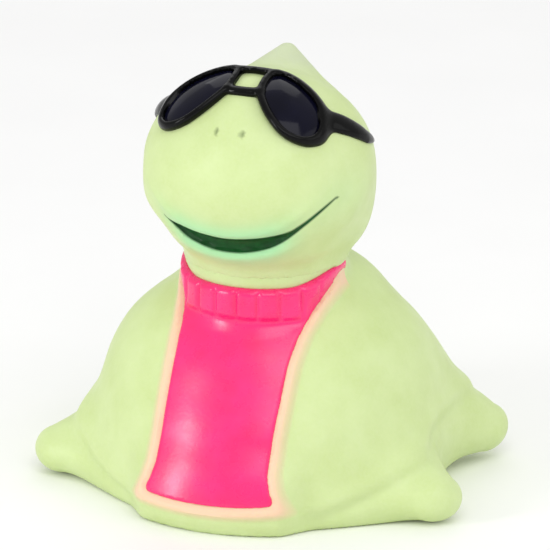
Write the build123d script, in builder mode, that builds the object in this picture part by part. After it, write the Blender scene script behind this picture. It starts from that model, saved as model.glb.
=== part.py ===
"""Floating pool thermometer: a hollow vinyl turtle in sunglasses over a bimetal dial read from below.

Millimetres. Origin at the middle of the flat base, +Z up, the figure faces -Y and its left side is +X.
"""

import math
import os

from build123d import *

os.makedirs("parts", exist_ok=True)

# ---- driving dimensions: figure ----
WALL = 1.6
SHOULDER_Z = 39.6
BELLY_TOP_Z = 37.0
# height, half width, depth in front and depth behind of the belly
BELLY_LEVELS = [
    (0.0, 26.7, 29.5, 26.9),
    (5.0, 28.3, 31.2, 28.3),
    (10.4, 28.4, 28.9, 28.4),
    (15.3, 28.2, 26.1, 28.2),
    (20.6, 27.2, 23.0, 27.2),
    (25.9, 24.4, 19.6, 24.4),
    (29.7, 20.8, 16.1, 21.4),
    (32.8, 16.9, 12.8, 18.6),
    (35.0, 14.2, 11.0, 16.5),
    (37.0, 12.0, 9.9, 13.6),
]
FRONT_FLIPPER = {"root": (16.0, -6.5, 9.5), "tip": (32.4, -11.2, 4.6), "root_r": 11.5, "tip_r": 4.7}
REAR_FLIPPER = {"root": (15.0, 7.5, 14.2), "tip": (29.8, 19.6, 5.6), "root_r": 12.6, "tip_r": 4.2}

HEAD_Y = -5.2
HEAD_Z = 55.9
HEAD_R = 18.9
HEAD_RISE = 15.4
JAW_Z = 46.6
JAW_R = 15.0
JAW_RISE = 6.9
NECK_Y = -2.4
NECK_R = 13.3
NECK_FOOT_Z = 26.0
NECK_HOLE_R = 9.8
NECK_FLANGE_R = 10.7
CREST_FOOT = (0.0, 4.0, 63.8)
CREST_FOOT_R = 6.6
CREST_TIP = (0.0, 8.2, 71.9)
CREST_TIP_R = 1.4
CREST_LEAN = 0.42
SMILE_END = (16.6, 54.2)
SMILE_LOW_Z = 44.5
SMILE_HIGH_Z = 47.1
SMILE_DEPTH = 0.5
NOSTRIL = (2.2, -20.8, 65.0)
NOSTRIL_R = 0.6

PANEL_T = 0.9
PANEL_FRONT_Y = -3.0
# half width and height along the panel's side, from the collar down to the foot
PANEL_SIDE = [(12.8, 36.6), (10.2, 29.7), (9.5, 16.0), (9.7, 10.4), (11.8, 5.2)]
COLLAR_T = 1.5
COLLAR_FOOT = (12.0, 32.3)
COLLAR_TIP = (13.4, 39.0)
COLLAR_DIP_Z = 37.3

GLASSES_TILT = 45.0
GLASSES_Y = -5.5
GLASSES_Z = 55.8
FRAME_T = 1.4
LENS_T = 1.1
LENS_SHARE = 0.86
LENS_MIDDLE = (8.2, 4.2)
# rim edge from the nose side over the top and under the bottom to the temple side
RIM_TOP = [(2.1, 7.8), (4.6, 10.8), (9.8, 8.5), (14.3, 2.4)]
RIM_BOTTOM = [(2.1, 7.8), (3.9, 2.2), (8.6, -2.4), (13.0, -1.8), (14.3, 2.4)]
BRIDGE_UP = (10.2, 5.4)
BRIDGE_BAR = (7.0, 1.3)
TEMPLE_X = 12.5
# fore-and-aft position and height round one temple arm
TEMPLE = [
    (-11.4, 67.6),
    (-6.4, 65.0),
    (-1.0, 62.0),
    (4.0, 60.2),
    (4.0, 58.4),
    (-1.4, 59.2),
    (-7.2, 61.8),
    (-11.4, 63.8),
]

# ---- driving dimensions: base plug and ballast ----
OPENING_R = 21.4
SNAP_R = 22.4
FLANGE_R = 24.9
FLANGE_T = 1.6
GASKET_T = 0.6
LIP_T = 1.6
CUP_R = 20.8
CUP_BORE_R = 19.0
CUP_CEILING = 12.6
CUP_TOP = 14.0
EYE_Y = 30.2
EYE_HOLE_R = 1.6
EYE_R = 3.4
EYE_T = 2.0
EYE_NOTCH_GAP = 0.4
PLAY = 0.1
SNAP_LIP_T = 0.6
SNAP_RAMP_T = 2.0
BALLAST_R = 16.5
BALLAST_T = 3.0
BALLAST_EDGE = 0.5
BOSS_R = 2.0
BOSS_SHORT = 0.4
BOSS_GAP = 0.15
BALLAST_SCREW_R = 0.9
BALLAST_HEAD_R = 3.0
BALLAST_HEAD_T = 1.2
PILOT_R = 0.95
PILOT_DEPTH = 0.7
CROSS_LONG = 2.6
CROSS_WIDE = 0.6
CROSS_DEEP = 0.7
BALLAST_BOLT_CIRCLE_R = 12.0
BALLAST_SCREWS = 3

# ---- driving dimensions: dial cartridge, from the underside up ----
BEZEL_Z = 0.3
LENS_Z = 1.2
GASKET_Z = 2.4
CASE_Z = 3.0
CASE_R = 18.6
CASE_WALL = 0.8
CASE_CORNER_R = 1.2
SEAT_GAP = 0.05
BEZEL_W = 2.6
NOTCH_W = 2.4
NOTCH_DEPTH = 0.5
LENS_GASKET_W = 2.0
SPACER_W = 0.95
DIAL_Z = 5.0
DIAL_T = 0.4
BRIDGE_Z = 9.8
BRIDGE_T = 0.8
ARBOR_R = 0.6
RUNNING_CLEARANCE = 0.05
BUSH_R = 1.4
BUSH_LIP_T = 0.3
BUSH_LENGTH = 0.8
FRONT_LIP_R = 2.0
REAR_LIP_R = 2.7
SCREW_R = 0.6
SCREW_SHANK_R = 0.57
SCREW_HEAD_R = 1.1
SCREW_HEAD_T = 0.6
SCREW_LENGTH = 3.0
SLOT_W = 0.35
SLOT_DEEP = 0.3
POST_R = 1.6
BRIDGE_W = 5.0
LEVER_T = 0.5
LEVER_BORE_R = 2.1
LEVER_PLAY = 0.05
COIL_Z = 6.3
COIL_HEIGHT = 2.2
COIL_INNER_R = 1.9
COIL_OUTER_R = 6.6
COIL_TURNS = 4
COIL_STRIP_T = 0.3
STUD_R = 0.6
STUD_CIRCLE_R = COIL_OUTER_R + COIL_STRIP_T + STUD_R
DIAL_POST_X = 12.0
LEVER_RING_R = 3.6
LEVER_ARM_W = 2.2
LEVER_EYE_R = 1.3
LEVER_TAB_W = 1.8
LEVER_TAB_Y = -10.0
LEVER_TAB_R = 1.5
STOP_COLLAR_R = 1.3
STOP_COLLAR_LIFT = 0.85
ARBOR_NOSE = 1.5
ARBOR_TAIL = 0.3
HUB_BUTTON_R = 1.9
HUB_BORE_R = 1.1
HUB_T = 0.5
POINTER_DROP = 1.2
POINTER_T = 0.25
POINTER_REACH = 14.6
POINTER_TAIL = 5.5
POINTER_EYE_R = 2.3

RECESS_Z = FLANGE_T + GASKET_T
FIGURE_FLOOR = RECESS_Z + LIP_T


# ---- shared shapes of the figure ----
def belly_reach(height):
    """Half width, depth in front and depth behind of the belly at a height."""
    for low, high in zip(BELLY_LEVELS, BELLY_LEVELS[1:]):
        if height <= high[0]:
            share = (height - low[0]) / (high[0] - low[0])
            return [a + share * (b - a) for a, b in zip(low[1:], high[1:])]
    return BELLY_LEVELS[-1][1:]


def half_round(wide, deep):
    """Points of half an ellipse from +X round to -X, towards the sign of deep."""
    angles = [math.radians(angle) for angle in range(0, 181, 30)]
    return [(wide * math.cos(angle), deep * math.sin(angle)) for angle in angles]


def belly_volume(grow, floor, top):
    """The solid belly between two level cuts, steeper behind than in front."""
    between = [row[0] for row in BELLY_LEVELS if floor + 1 < row[0] < top - 1]
    with BuildPart() as volume:
        for height in [floor, *between, top]:
            wide, ahead, behind = [reach + grow for reach in belly_reach(height)]
            with BuildSketch(Plane.XY.offset(height)):
                with BuildLine():
                    Spline(half_round(wide, -ahead), tangents=[(0, -1), (0, 1)])
                    Spline(half_round(wide, behind), tangents=[(0, 1), (0, -1)])
                make_face()
        loft()
    return volume.part


def trunk_volume(grow, floor, belly_top, neck_top):
    """Belly with the round stub of the neck on it."""
    belly = belly_volume(grow, floor, belly_top)
    with BuildPart() as volume:
        add(belly)
        with BuildSketch(Plane.XY.offset(NECK_FOOT_Z)):
            with Locations((0, NECK_Y)):
                Circle(NECK_R + grow)
        extrude(amount=neck_top - NECK_FOOT_Z)
    return volume.part


def flipper_volume(side, root, tip, root_r, tip_r, grow):
    """A blunt tapering flipper with a round tip, on one side of the figure."""
    start = Vector(side * root[0], root[1], root[2])
    reach = Vector(side * tip[0], tip[1], tip[2]) - start
    wide = root_r + grow
    narrow = tip_r + grow
    lean = math.asin((wide - narrow) / reach.length)
    lean_x = math.sin(lean)
    lean_y = math.cos(lean)
    along = Plane(origin=start, x_dir=reach, z_dir=reach.cross(Vector(0, 0, 1)))
    with BuildPart() as volume:
        with BuildSketch(along):
            with BuildLine():
                CenterArc((reach.length, 0), narrow, 0, 90 - math.degrees(lean))
                Polyline(
                    (reach.length + narrow * lean_x, narrow * lean_y),
                    (wide * lean_x, wide * lean_y),
                    (wide * lean_x, 0),
                    (reach.length + narrow, 0),
                )
            make_face()
        revolve(axis=Axis(start, reach))
    return volume.part


def body_volume(grow, floor, belly_top, neck_top):
    """Trunk and four flippers as one solid, cut level at the floor."""
    pieces = [
        flipper_volume(side, grow=grow, **flipper)
        for side in (1, -1)
        for flipper in (FRONT_FLIPPER, REAR_FLIPPER)
    ]
    trunk = trunk_volume(grow, floor, belly_top, neck_top)
    with BuildPart() as volume:
        add(trunk)
        for piece in pieces:
            add(piece)
        split(bisect_by=Plane.XY.offset(floor), keep=Keep.TOP)
    return volume.part


def egg_volume(centre_z, radius, rise, grow):
    """An upright round egg of the head, a half ellipse turned about its axis."""
    wide = radius + grow
    tall = rise + grow
    angles = [math.radians(angle) for angle in range(-90, 91, 15)]
    outline = [(wide * math.cos(angle), centre_z + tall * math.sin(angle)) for angle in angles]
    with BuildPart() as volume:
        with BuildSketch(Plane.XZ.offset(-HEAD_Y)):
            with BuildLine():
                Spline(outline, tangents=[(1, 0), (-1, 0)])
                Line(outline[-1], outline[0])
            make_face()
        revolve(axis=Axis((0, HEAD_Y, 0), (0, 0, 1)))
    return volume.part


def skull_volume(grow):
    """The head without its jaw."""
    return egg_volume(HEAD_Z, HEAD_R, HEAD_RISE, grow)


def head_volume(grow):
    """The head with the jaw that rounds it off under the smile."""
    skull = skull_volume(grow)
    jaw = egg_volume(JAW_Z, JAW_R, JAW_RISE, grow)
    with BuildPart() as volume:
        add(skull)
        add(jaw)
    return volume.part


# ---- body shell ----
neck_ceiling = SHOULDER_Z - WALL - 0.2
body_outside = body_volume(0, 0, BELLY_TOP_Z, SHOULDER_Z)
body_inside = body_volume(-WALL, FIGURE_FLOOR, BELLY_TOP_Z - WALL, neck_ceiling)
with BuildPart() as body_shell:
    add(body_outside)
    add(body_inside, mode=Mode.SUBTRACT)
    # stepped opening for the base cup: the flange sits in the wide step, the lip snaps into the groove
    with BuildSketch(Plane.XY):
        Circle(FLANGE_R + 3 * PLAY)
    extrude(amount=RECESS_Z, mode=Mode.SUBTRACT)
    with BuildSketch(Plane.XY):
        Circle(OPENING_R)
    extrude(amount=FIGURE_FLOOR, mode=Mode.SUBTRACT)
    # notch at the back for the tether eye
    with BuildSketch(Plane.XY):
        with Locations((0, EYE_Y)):
            Rectangle(2 * (EYE_R + EYE_NOTCH_GAP), 2 * (EYE_Y - OPENING_R - EYE_T))
    extrude(amount=RECESS_Z, mode=Mode.SUBTRACT)
    # neck hole
    with BuildSketch(Plane.XY.offset(SHOULDER_Z)):
        with Locations((0, NECK_Y)):
            Circle(NECK_HOLE_R)
    extrude(amount=-2 * WALL - 1, mode=Mode.SUBTRACT)
body_shell.part.label = "body_shell"

# ---- head shell ----
neck_bore_r = NECK_HOLE_R - WALL
flange_bottom = neck_ceiling - WALL
head_outside = head_volume(0)
head_inside = head_volume(-WALL)
smile_bottom = head_volume(-SMILE_DEPTH)
with BuildPart() as smile:
    with BuildSketch(Plane.XZ):
        with BuildLine():
            ThreePointArc((-SMILE_END[0], SMILE_END[1]), (0, SMILE_LOW_Z), SMILE_END)
            ThreePointArc(SMILE_END, (0, SMILE_HIGH_Z), (-SMILE_END[0], SMILE_END[1]))
        make_face()
    extrude(amount=HEAD_R * 2)
    add(smile_bottom, mode=Mode.SUBTRACT)

with BuildPart() as head_shell:
    add(head_outside)
    # neck: wide collar seat, groove through the body's hole, flange behind it
    with BuildSketch(Plane.XY.offset(SHOULDER_Z)):
        with Locations((0, NECK_Y)):
            Circle(NECK_R)
    extrude(amount=JAW_Z - SHOULDER_Z)
    with BuildSketch(Plane.XY.offset(flange_bottom)):
        with Locations((0, NECK_Y)):
            Circle(NECK_HOLE_R)
    extrude(amount=SHOULDER_Z - flange_bottom)
    with BuildSketch(Plane.XY.offset(flange_bottom)):
        with Locations((0, NECK_Y)):
            Circle(NECK_FLANGE_R)
    extrude(amount=WALL)
    # crest: a short spike leaning back
    with BuildSketch(Plane(CREST_FOOT, z_dir=(0, CREST_LEAN, 1))):
        Circle(CREST_FOOT_R)
    with BuildSketch(Plane(CREST_TIP, z_dir=(0, CREST_LEAN, 1))):
        Circle(CREST_TIP_R)
    loft()
    # hollow inside
    add(head_inside, mode=Mode.SUBTRACT)
    with BuildSketch(Plane.XY.offset(flange_bottom)):
        with Locations((0, NECK_Y)):
            Circle(neck_bore_r)
    extrude(amount=JAW_Z - flange_bottom, mode=Mode.SUBTRACT)
    # face: smile groove and nostrils
    add(smile.part, mode=Mode.SUBTRACT)
    with Locations(NOSTRIL, (-NOSTRIL[0], NOSTRIL[1], NOSTRIL[2])):
        Sphere(NOSTRIL_R, mode=Mode.SUBTRACT)
head_shell.part.label = "head_shell"

# ---- chest panel with its collar ----
trunk_skin, panel_skin, collar_skin = [
    trunk_volume(grow, 0, BELLY_TOP_Z, SHOULDER_Z) for grow in (0, PANEL_T, COLLAR_T)
]


def across(points):
    """The same points on the other side of the figure."""
    return [(-x, z) for x, z in points]


with BuildPart() as collar:
    add(collar_skin)
    add(trunk_skin, mode=Mode.SUBTRACT)
    with BuildSketch(Plane.XZ.offset(-PANEL_FRONT_Y)):
        with BuildLine():
            ThreePointArc(*across([COLLAR_TIP]), (0, COLLAR_DIP_Z), COLLAR_TIP)
            Polyline(COLLAR_TIP, COLLAR_FOOT, *across([COLLAR_FOOT, COLLAR_TIP]))
        make_face()
    extrude(amount=HEAD_R * 2, mode=Mode.INTERSECT)

with BuildPart() as chest_panel:
    add(panel_skin)
    add(trunk_skin, mode=Mode.SUBTRACT)
    with BuildSketch(Plane.XZ.offset(-PANEL_FRONT_Y)):
        with BuildLine():
            right_edge = Spline(across(PANEL_SIDE))
            left_edge = Spline(PANEL_SIDE)
            Line(left_edge @ 0, right_edge @ 0)
            Line(left_edge @ 1, right_edge @ 1)
        make_face()
    extrude(amount=HEAD_R * 2, mode=Mode.INTERSECT)
    add(collar.part)
chest_panel.part.label = "chest_panel"

# ---- sunglasses ----
tilt = math.radians(GLASSES_TILT)
glasses_plane = Plane(
    origin=(0, GLASSES_Y, GLASSES_Z), x_dir=(1, 0, 0), z_dir=(0, -math.cos(tilt), math.sin(tilt))
)


def rim_outline(side, share):
    """Teardrop rim outline on one side of the nose, shrunk to a share about its middle."""

    def placed(points):
        middle_x, middle_y = LENS_MIDDLE
        return [
            (side * (middle_x + share * (x - middle_x)), middle_y + share * (y - middle_y))
            for x, y in points
        ]

    with BuildSketch(glasses_plane) as outline:
        with BuildLine():
            Spline(placed(RIM_TOP), tangents=[(0, 1), (0, -1)])
            Spline(placed(RIM_BOTTOM), tangents=[(0, -1), (0, 1)])
        make_face()
    return outline.sketch


skull = skull_volume(0)
frame_skin = skull_volume(FRAME_T)
lens_skin = skull_volume(LENS_T)
rims = [rim_outline(side, 1) for side in (1, -1)]
lens_outlines = {"left_lens": rim_outline(1, LENS_SHARE), "right_lens": rim_outline(-1, LENS_SHARE)}

with BuildPart() as sunglasses_frame:
    for rim in rims:
        extrude(rim, amount=HEAD_R * 1.5)
    with BuildSketch(glasses_plane):
        with Locations(*[(0, up) for up in BRIDGE_UP]):
            Rectangle(*BRIDGE_BAR)
    extrude(amount=HEAD_R * 1.5)
    # temples, along the sides of the head
    for side in (1, -1):
        with BuildSketch(Plane.YZ.offset(side * TEMPLE_X)):
            with BuildLine():
                Polyline(*TEMPLE, close=True)
            make_face()
        extrude(amount=side * HEAD_R)
    for outline in lens_outlines.values():
        extrude(outline, amount=HEAD_R * 1.5, mode=Mode.SUBTRACT)
    add(frame_skin, mode=Mode.INTERSECT)
    add(skull, mode=Mode.SUBTRACT)
sunglasses_frame.part.label = "sunglasses_frame"

lenses = []
for name, outline in lens_outlines.items():
    with BuildPart() as lens:
        extrude(outline, amount=HEAD_R * 1.5)
        add(lens_skin, mode=Mode.INTERSECT)
        add(skull, mode=Mode.SUBTRACT)
    lens.part.label = name
    lenses.append(lens.part)

# ---- base cup ----
with BuildPart() as base_cup:
    with BuildSketch(Plane.XZ):
        with BuildLine():
            Polyline(
                (CUP_BORE_R, 0),
                (FLANGE_R, 0),
                (FLANGE_R, FLANGE_T),
                (OPENING_R - PLAY, FLANGE_T),
                (OPENING_R - PLAY, FIGURE_FLOOR),
                (SNAP_R, FIGURE_FLOOR),
                (SNAP_R, FIGURE_FLOOR + SNAP_LIP_T),
                (CUP_R, FIGURE_FLOOR + SNAP_RAMP_T),
                (CUP_R, CUP_TOP),
                (0, CUP_TOP),
                (0, CUP_CEILING),
                (CUP_BORE_R, CUP_CEILING),
                close=True,
            )
        make_face()
    revolve(axis=Axis.Z)
    # tether eye behind the figure
    with BuildSketch(Plane.XY):
        with Locations((0, (EYE_Y + FLANGE_R - 1) / 2)):
            Rectangle(2 * EYE_R, EYE_Y - FLANGE_R + 1)
        with Locations((0, EYE_Y)):
            Circle(EYE_R)
            Circle(EYE_HOLE_R, mode=Mode.SUBTRACT)
    extrude(amount=EYE_T)
    # bosses for the ballast screws
    with BuildSketch(Plane.XY.offset(CUP_TOP)):
        with PolarLocations(BALLAST_BOLT_CIRCLE_R, BALLAST_SCREWS, start_angle=90):
            Circle(BOSS_R)
    extrude(amount=BALLAST_T - BOSS_SHORT)
    with BuildSketch(Plane.XY.offset(CUP_TOP + BALLAST_T)):
        with PolarLocations(BALLAST_BOLT_CIRCLE_R, BALLAST_SCREWS, start_angle=90):
            Circle(PILOT_R)
    extrude(amount=-BALLAST_T - PILOT_DEPTH, mode=Mode.SUBTRACT)
base_cup.part.label = "base_cup"

# ---- base gasket: soft flat ring between flange and lip, open at the tether eye ----
with BuildPart() as base_gasket:
    with BuildSketch(Plane.XY.offset(FLANGE_T)):
        Circle(FLANGE_R - 2 * PLAY)
        Circle(OPENING_R + PLAY, mode=Mode.SUBTRACT)
        with Locations((0, EYE_Y)):
            Rectangle(2 * EYE_R + EYE_NOTCH_GAP, 2 * (EYE_Y - FLANGE_R + 1.2), mode=Mode.SUBTRACT)
    extrude(amount=GASKET_T)
base_gasket.part.label = "base_gasket"

# ---- ballast disc and its screws ----
with BuildPart() as ballast_weight:
    with BuildSketch(Plane.XY.offset(CUP_TOP)):
        Circle(BALLAST_R)
        with PolarLocations(BALLAST_BOLT_CIRCLE_R, BALLAST_SCREWS, start_angle=90):
            Circle(BOSS_R + BOSS_GAP, mode=Mode.SUBTRACT)
    extrude(amount=BALLAST_T)
    chamfer(ballast_weight.faces().sort_by(Axis.Z)[-1].outer_wire().edges(), BALLAST_EDGE)
ballast_weight.part.label = "ballast_weight"

with BuildPart() as ballast_screws:
    with BuildSketch(Plane.XY.offset(CUP_TOP + BALLAST_T)):
        with PolarLocations(BALLAST_BOLT_CIRCLE_R, BALLAST_SCREWS, start_angle=90):
            Circle(BALLAST_HEAD_R)
    extrude(amount=BALLAST_HEAD_T)
    fillet(ballast_screws.edges().group_by(Axis.Z)[-1], BALLAST_EDGE)
    with BuildSketch(Plane.XY.offset(CUP_TOP + BALLAST_T)):
        with PolarLocations(BALLAST_BOLT_CIRCLE_R, BALLAST_SCREWS, start_angle=90):
            Circle(BALLAST_SCREW_R)
    extrude(amount=-BALLAST_T - BOSS_SHORT)
    # cross recess
    with BuildSketch(Plane.XY.offset(CUP_TOP + BALLAST_T + BALLAST_HEAD_T)):
        with PolarLocations(BALLAST_BOLT_CIRCLE_R, BALLAST_SCREWS, start_angle=90):
            Rectangle(CROSS_LONG, CROSS_WIDE)
            Rectangle(CROSS_WIDE, CROSS_LONG)
    extrude(amount=-CROSS_DEEP, mode=Mode.SUBTRACT)
ballast_screws.part.label = "ballast_screws"

# ---- bezel ring with two spanner notches ----
with BuildPart() as bezel_ring:
    with BuildSketch(Plane.XY.offset(BEZEL_Z)):
        Circle(CUP_BORE_R - SEAT_GAP)
        Circle(CUP_BORE_R - BEZEL_W, mode=Mode.SUBTRACT)
    extrude(amount=LENS_Z - BEZEL_Z)
    with BuildSketch(Plane.XY.offset(BEZEL_Z)):
        with PolarLocations(CUP_BORE_R - BEZEL_W, 2):
            Rectangle(2.0, NOTCH_W)
    extrude(amount=NOTCH_DEPTH, mode=Mode.SUBTRACT)
bezel_ring.part.label = "bezel_ring"

# ---- clear window ----
with BuildPart() as dial_lens:
    with BuildSketch(Plane.XY.offset(LENS_Z)):
        Circle(CASE_R)
    extrude(amount=GASKET_Z - LENS_Z)
dial_lens.part.label = "dial_lens"

# ---- window gasket ----
with BuildPart() as lens_gasket:
    with BuildSketch(Plane.XY.offset(GASKET_Z)):
        Circle(CUP_BORE_R - SEAT_GAP)
        Circle(CUP_BORE_R - LENS_GASKET_W, mode=Mode.SUBTRACT)
    extrude(amount=CASE_Z - GASKET_Z)
lens_gasket.part.label = "lens_gasket"

# ---- dial case: shallow drawn cup, mouth down ----
case_inner_r = CASE_R - CASE_WALL
case_ceiling = CUP_CEILING - CASE_WALL
with BuildPart() as dial_case:
    with BuildSketch(Plane.XY.offset(CASE_Z)):
        Circle(CASE_R)
    extrude(amount=CUP_CEILING - CASE_Z)
    fillet(dial_case.edges().group_by(Axis.Z)[-1], CASE_CORNER_R)
    with BuildSketch(Plane.XY.offset(CASE_Z)):
        Circle(case_inner_r)
    extrude(amount=case_ceiling - CASE_Z, mode=Mode.SUBTRACT)
dial_case.part.label = "dial_case"

# ---- spacer ring between window gasket and dial plate ----
with BuildPart() as dial_spacer:
    with BuildSketch(Plane.XY.offset(CASE_Z)):
        Circle(case_inner_r - SEAT_GAP)
        Circle(case_inner_r - SEAT_GAP - SPACER_W, mode=Mode.SUBTRACT)
    extrude(amount=DIAL_Z - CASE_Z)
dial_spacer.part.label = "dial_spacer"

# ---- dial plate: scale faces down ----
with BuildPart() as dial_plate:
    with BuildSketch(Plane.XY.offset(DIAL_Z)):
        Circle(case_inner_r - SEAT_GAP)
        Circle(BUSH_R, mode=Mode.SUBTRACT)
        with Locations((DIAL_POST_X, 0), (-DIAL_POST_X, 0)):
            Circle(SCREW_R + PLAY, mode=Mode.SUBTRACT)
    extrude(amount=DIAL_T)
dial_plate.part.label = "dial_plate"

# ---- movement bridge: bar with two posts down to the dial and two feet up to the case ----
post_bottom = DIAL_Z + DIAL_T
with BuildPart() as movement_bridge:
    with BuildSketch(Plane.XY.offset(BRIDGE_Z)):
        SlotCenterToCenter(2 * DIAL_POST_X, BRIDGE_W)
    extrude(amount=BRIDGE_T)
    with BuildSketch(Plane.XY.offset(post_bottom)):
        with Locations((DIAL_POST_X, 0), (-DIAL_POST_X, 0)):
            Circle(POST_R)
    extrude(amount=case_ceiling - post_bottom)
    with BuildSketch(Plane.XY.offset(post_bottom)):
        with Locations((DIAL_POST_X, 0), (-DIAL_POST_X, 0)):
            Circle(SCREW_R)
    extrude(amount=SCREW_LENGTH, mode=Mode.SUBTRACT)
    with BuildSketch(Plane.XY.offset(BRIDGE_Z)):
        Circle(BUSH_R)
    extrude(amount=BRIDGE_T, mode=Mode.SUBTRACT)
movement_bridge.part.label = "movement_bridge"

# ---- dial screws: cheese heads under the dial plate ----
with BuildPart() as dial_screws:
    with BuildSketch(Plane.XY.offset(DIAL_Z)):
        with Locations((DIAL_POST_X, 0), (-DIAL_POST_X, 0)):
            Circle(SCREW_HEAD_R)
    extrude(amount=-SCREW_HEAD_T)
    with BuildSketch(Plane.XY.offset(DIAL_Z)):
        with Locations((DIAL_POST_X, 0), (-DIAL_POST_X, 0)):
            Circle(SCREW_SHANK_R)
    extrude(amount=SCREW_LENGTH)
    with BuildSketch(Plane.XY.offset(DIAL_Z - SCREW_HEAD_T)):
        with Locations((DIAL_POST_X, 0), (-DIAL_POST_X, 0)):
            Rectangle(2.2 * SCREW_HEAD_R, SLOT_W)
    extrude(amount=SLOT_DEEP, mode=Mode.SUBTRACT)
dial_screws.part.label = "dial_screws"

# ---- bearings of the arbor ----
arbor_hole_r = ARBOR_R + RUNNING_CLEARANCE
with BuildPart() as front_bush:
    with BuildSketch(Plane.XY.offset(DIAL_Z - BUSH_LIP_T)):
        Circle(FRONT_LIP_R)
    extrude(amount=BUSH_LIP_T)
    with BuildSketch(Plane.XY.offset(DIAL_Z)):
        Circle(BUSH_R)
    extrude(amount=BUSH_LENGTH)
    with BuildSketch(Plane.XY.offset(DIAL_Z - BUSH_LIP_T)):
        Circle(arbor_hole_r)
    extrude(amount=BUSH_LENGTH + BUSH_LIP_T, mode=Mode.SUBTRACT)
front_bush.part.label = "front_bush"

bush_lip_z = BRIDGE_Z - LEVER_T - 2 * LEVER_PLAY - BUSH_LIP_T
with BuildPart() as rear_bush:
    with BuildSketch(Plane.XY.offset(bush_lip_z)):
        Circle(REAR_LIP_R)
    extrude(amount=BUSH_LIP_T)
    with BuildSketch(Plane.XY.offset(bush_lip_z)):
        Circle(LEVER_BORE_R - RUNNING_CLEARANCE)
    extrude(amount=BRIDGE_Z - bush_lip_z)
    with BuildSketch(Plane.XY.offset(BRIDGE_Z)):
        Circle(BUSH_R)
    extrude(amount=BRIDGE_T)
    with BuildSketch(Plane.XY.offset(bush_lip_z)):
        Circle(arbor_hole_r)
    extrude(amount=BRIDGE_Z + BRIDGE_T - bush_lip_z, mode=Mode.SUBTRACT)
rear_bush.part.label = "rear_bush"

# ---- calibration lever: friction ring on the rear bush, with a stud arm and a finger tab ----
lever_z = BRIDGE_Z - LEVER_T - LEVER_PLAY
with BuildPart() as calibration_lever:
    with BuildSketch(Plane.XY.offset(lever_z)):
        Circle(LEVER_RING_R)
        with Locations((0, STUD_CIRCLE_R / 2)):
            Rectangle(LEVER_ARM_W, STUD_CIRCLE_R)
        with Locations((0, STUD_CIRCLE_R)):
            Circle(LEVER_EYE_R)
        with Locations((0, LEVER_TAB_Y / 2)):
            Rectangle(LEVER_TAB_W, -LEVER_TAB_Y)
        with Locations((0, LEVER_TAB_Y)):
            Circle(LEVER_TAB_R)
        Circle(LEVER_BORE_R, mode=Mode.SUBTRACT)
        with Locations((0, STUD_CIRCLE_R)):
            Circle(STUD_R, mode=Mode.SUBTRACT)
    extrude(amount=LEVER_T)
calibration_lever.part.label = "calibration_lever"

# ---- coil stud: riveted in the lever, slotted for the coil's outer end ----
with BuildPart() as coil_stud:
    with BuildSketch(Plane.XY.offset(COIL_Z)):
        with Locations((0, STUD_CIRCLE_R)):
            Circle(STUD_R)
    extrude(amount=lever_z + LEVER_T - COIL_Z)
coil_stud.part.label = "coil_stud"

# ---- bimetal coil: flat spiral strip from the arbor out to the stud ----
spiral_steps = 16 * COIL_TURNS
spiral_growth = (COIL_OUTER_R - COIL_INNER_R) / spiral_steps


def spiral(offset_r):
    """Points of one face of the strip, ending beside the stud on +Y."""
    points = []
    for step in range(spiral_steps + 1):
        angle = math.radians(90 + 360 * COIL_TURNS * step / spiral_steps)
        radius = COIL_INNER_R + spiral_growth * step + offset_r
        points.append((radius * math.cos(angle), radius * math.sin(angle)))
    return points


with BuildPart() as bimetal_coil:
    with BuildSketch(Plane.XY.offset(COIL_Z)):
        with BuildLine():
            inner_face = Spline(spiral(0))
            outer_face = Spline(spiral(COIL_STRIP_T))
            Line(inner_face @ 0, outer_face @ 0)
            Line(inner_face @ 1, outer_face @ 1)
        make_face()
    extrude(amount=COIL_HEIGHT)
bimetal_coil.part.label = "bimetal_coil"

# ---- arbor: straight shaft with a stop collar and the coil's collet ----
collar_z = DIAL_Z + STOP_COLLAR_LIFT
with BuildPart() as pointer_arbor:
    with BuildSketch(Plane.XY.offset(DIAL_Z - ARBOR_NOSE)):
        Circle(ARBOR_R)
    extrude(amount=BRIDGE_Z + BRIDGE_T + ARBOR_TAIL - DIAL_Z + ARBOR_NOSE)
    with BuildSketch(Plane.XY.offset(collar_z)):
        Circle(STOP_COLLAR_R)
    extrude(amount=COIL_Z + COIL_HEIGHT - collar_z)
pointer_arbor.part.label = "pointer_arbor"

# ---- pointer hub: brass button pressed on the arbor ----
with BuildPart() as pointer_hub:
    with BuildSketch(Plane.XY.offset(DIAL_Z - POINTER_DROP - HUB_T)):
        Circle(HUB_BUTTON_R)
    extrude(amount=HUB_T)
    with BuildSketch(Plane.XY.offset(DIAL_Z - POINTER_DROP)):
        Circle(HUB_BORE_R)
    extrude(amount=HUB_T)
    with BuildSketch(Plane.XY.offset(DIAL_Z - ARBOR_NOSE)):
        Circle(ARBOR_R)
    extrude(amount=ARBOR_NOSE, mode=Mode.SUBTRACT)
pointer_hub.part.label = "pointer_hub"

# ---- pointer: tapering needle with a counterweight tail ----
with BuildPart() as pointer:
    with BuildSketch(Plane.XY.offset(DIAL_Z - POINTER_DROP)):
        with BuildLine():
            Polyline((-1.0, 0), (-0.25, POINTER_REACH), (0.25, POINTER_REACH), (1.0, 0), close=True)
        make_face()
        with BuildLine():
            Polyline((-0.7, 0), (-1.2, -POINTER_TAIL), (1.2, -POINTER_TAIL), (0.7, 0), close=True)
        make_face()
        Circle(POINTER_EYE_R)
        Circle(HUB_BORE_R, mode=Mode.SUBTRACT)
    extrude(amount=POINTER_T)
pointer.part.label = "pointer"

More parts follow.
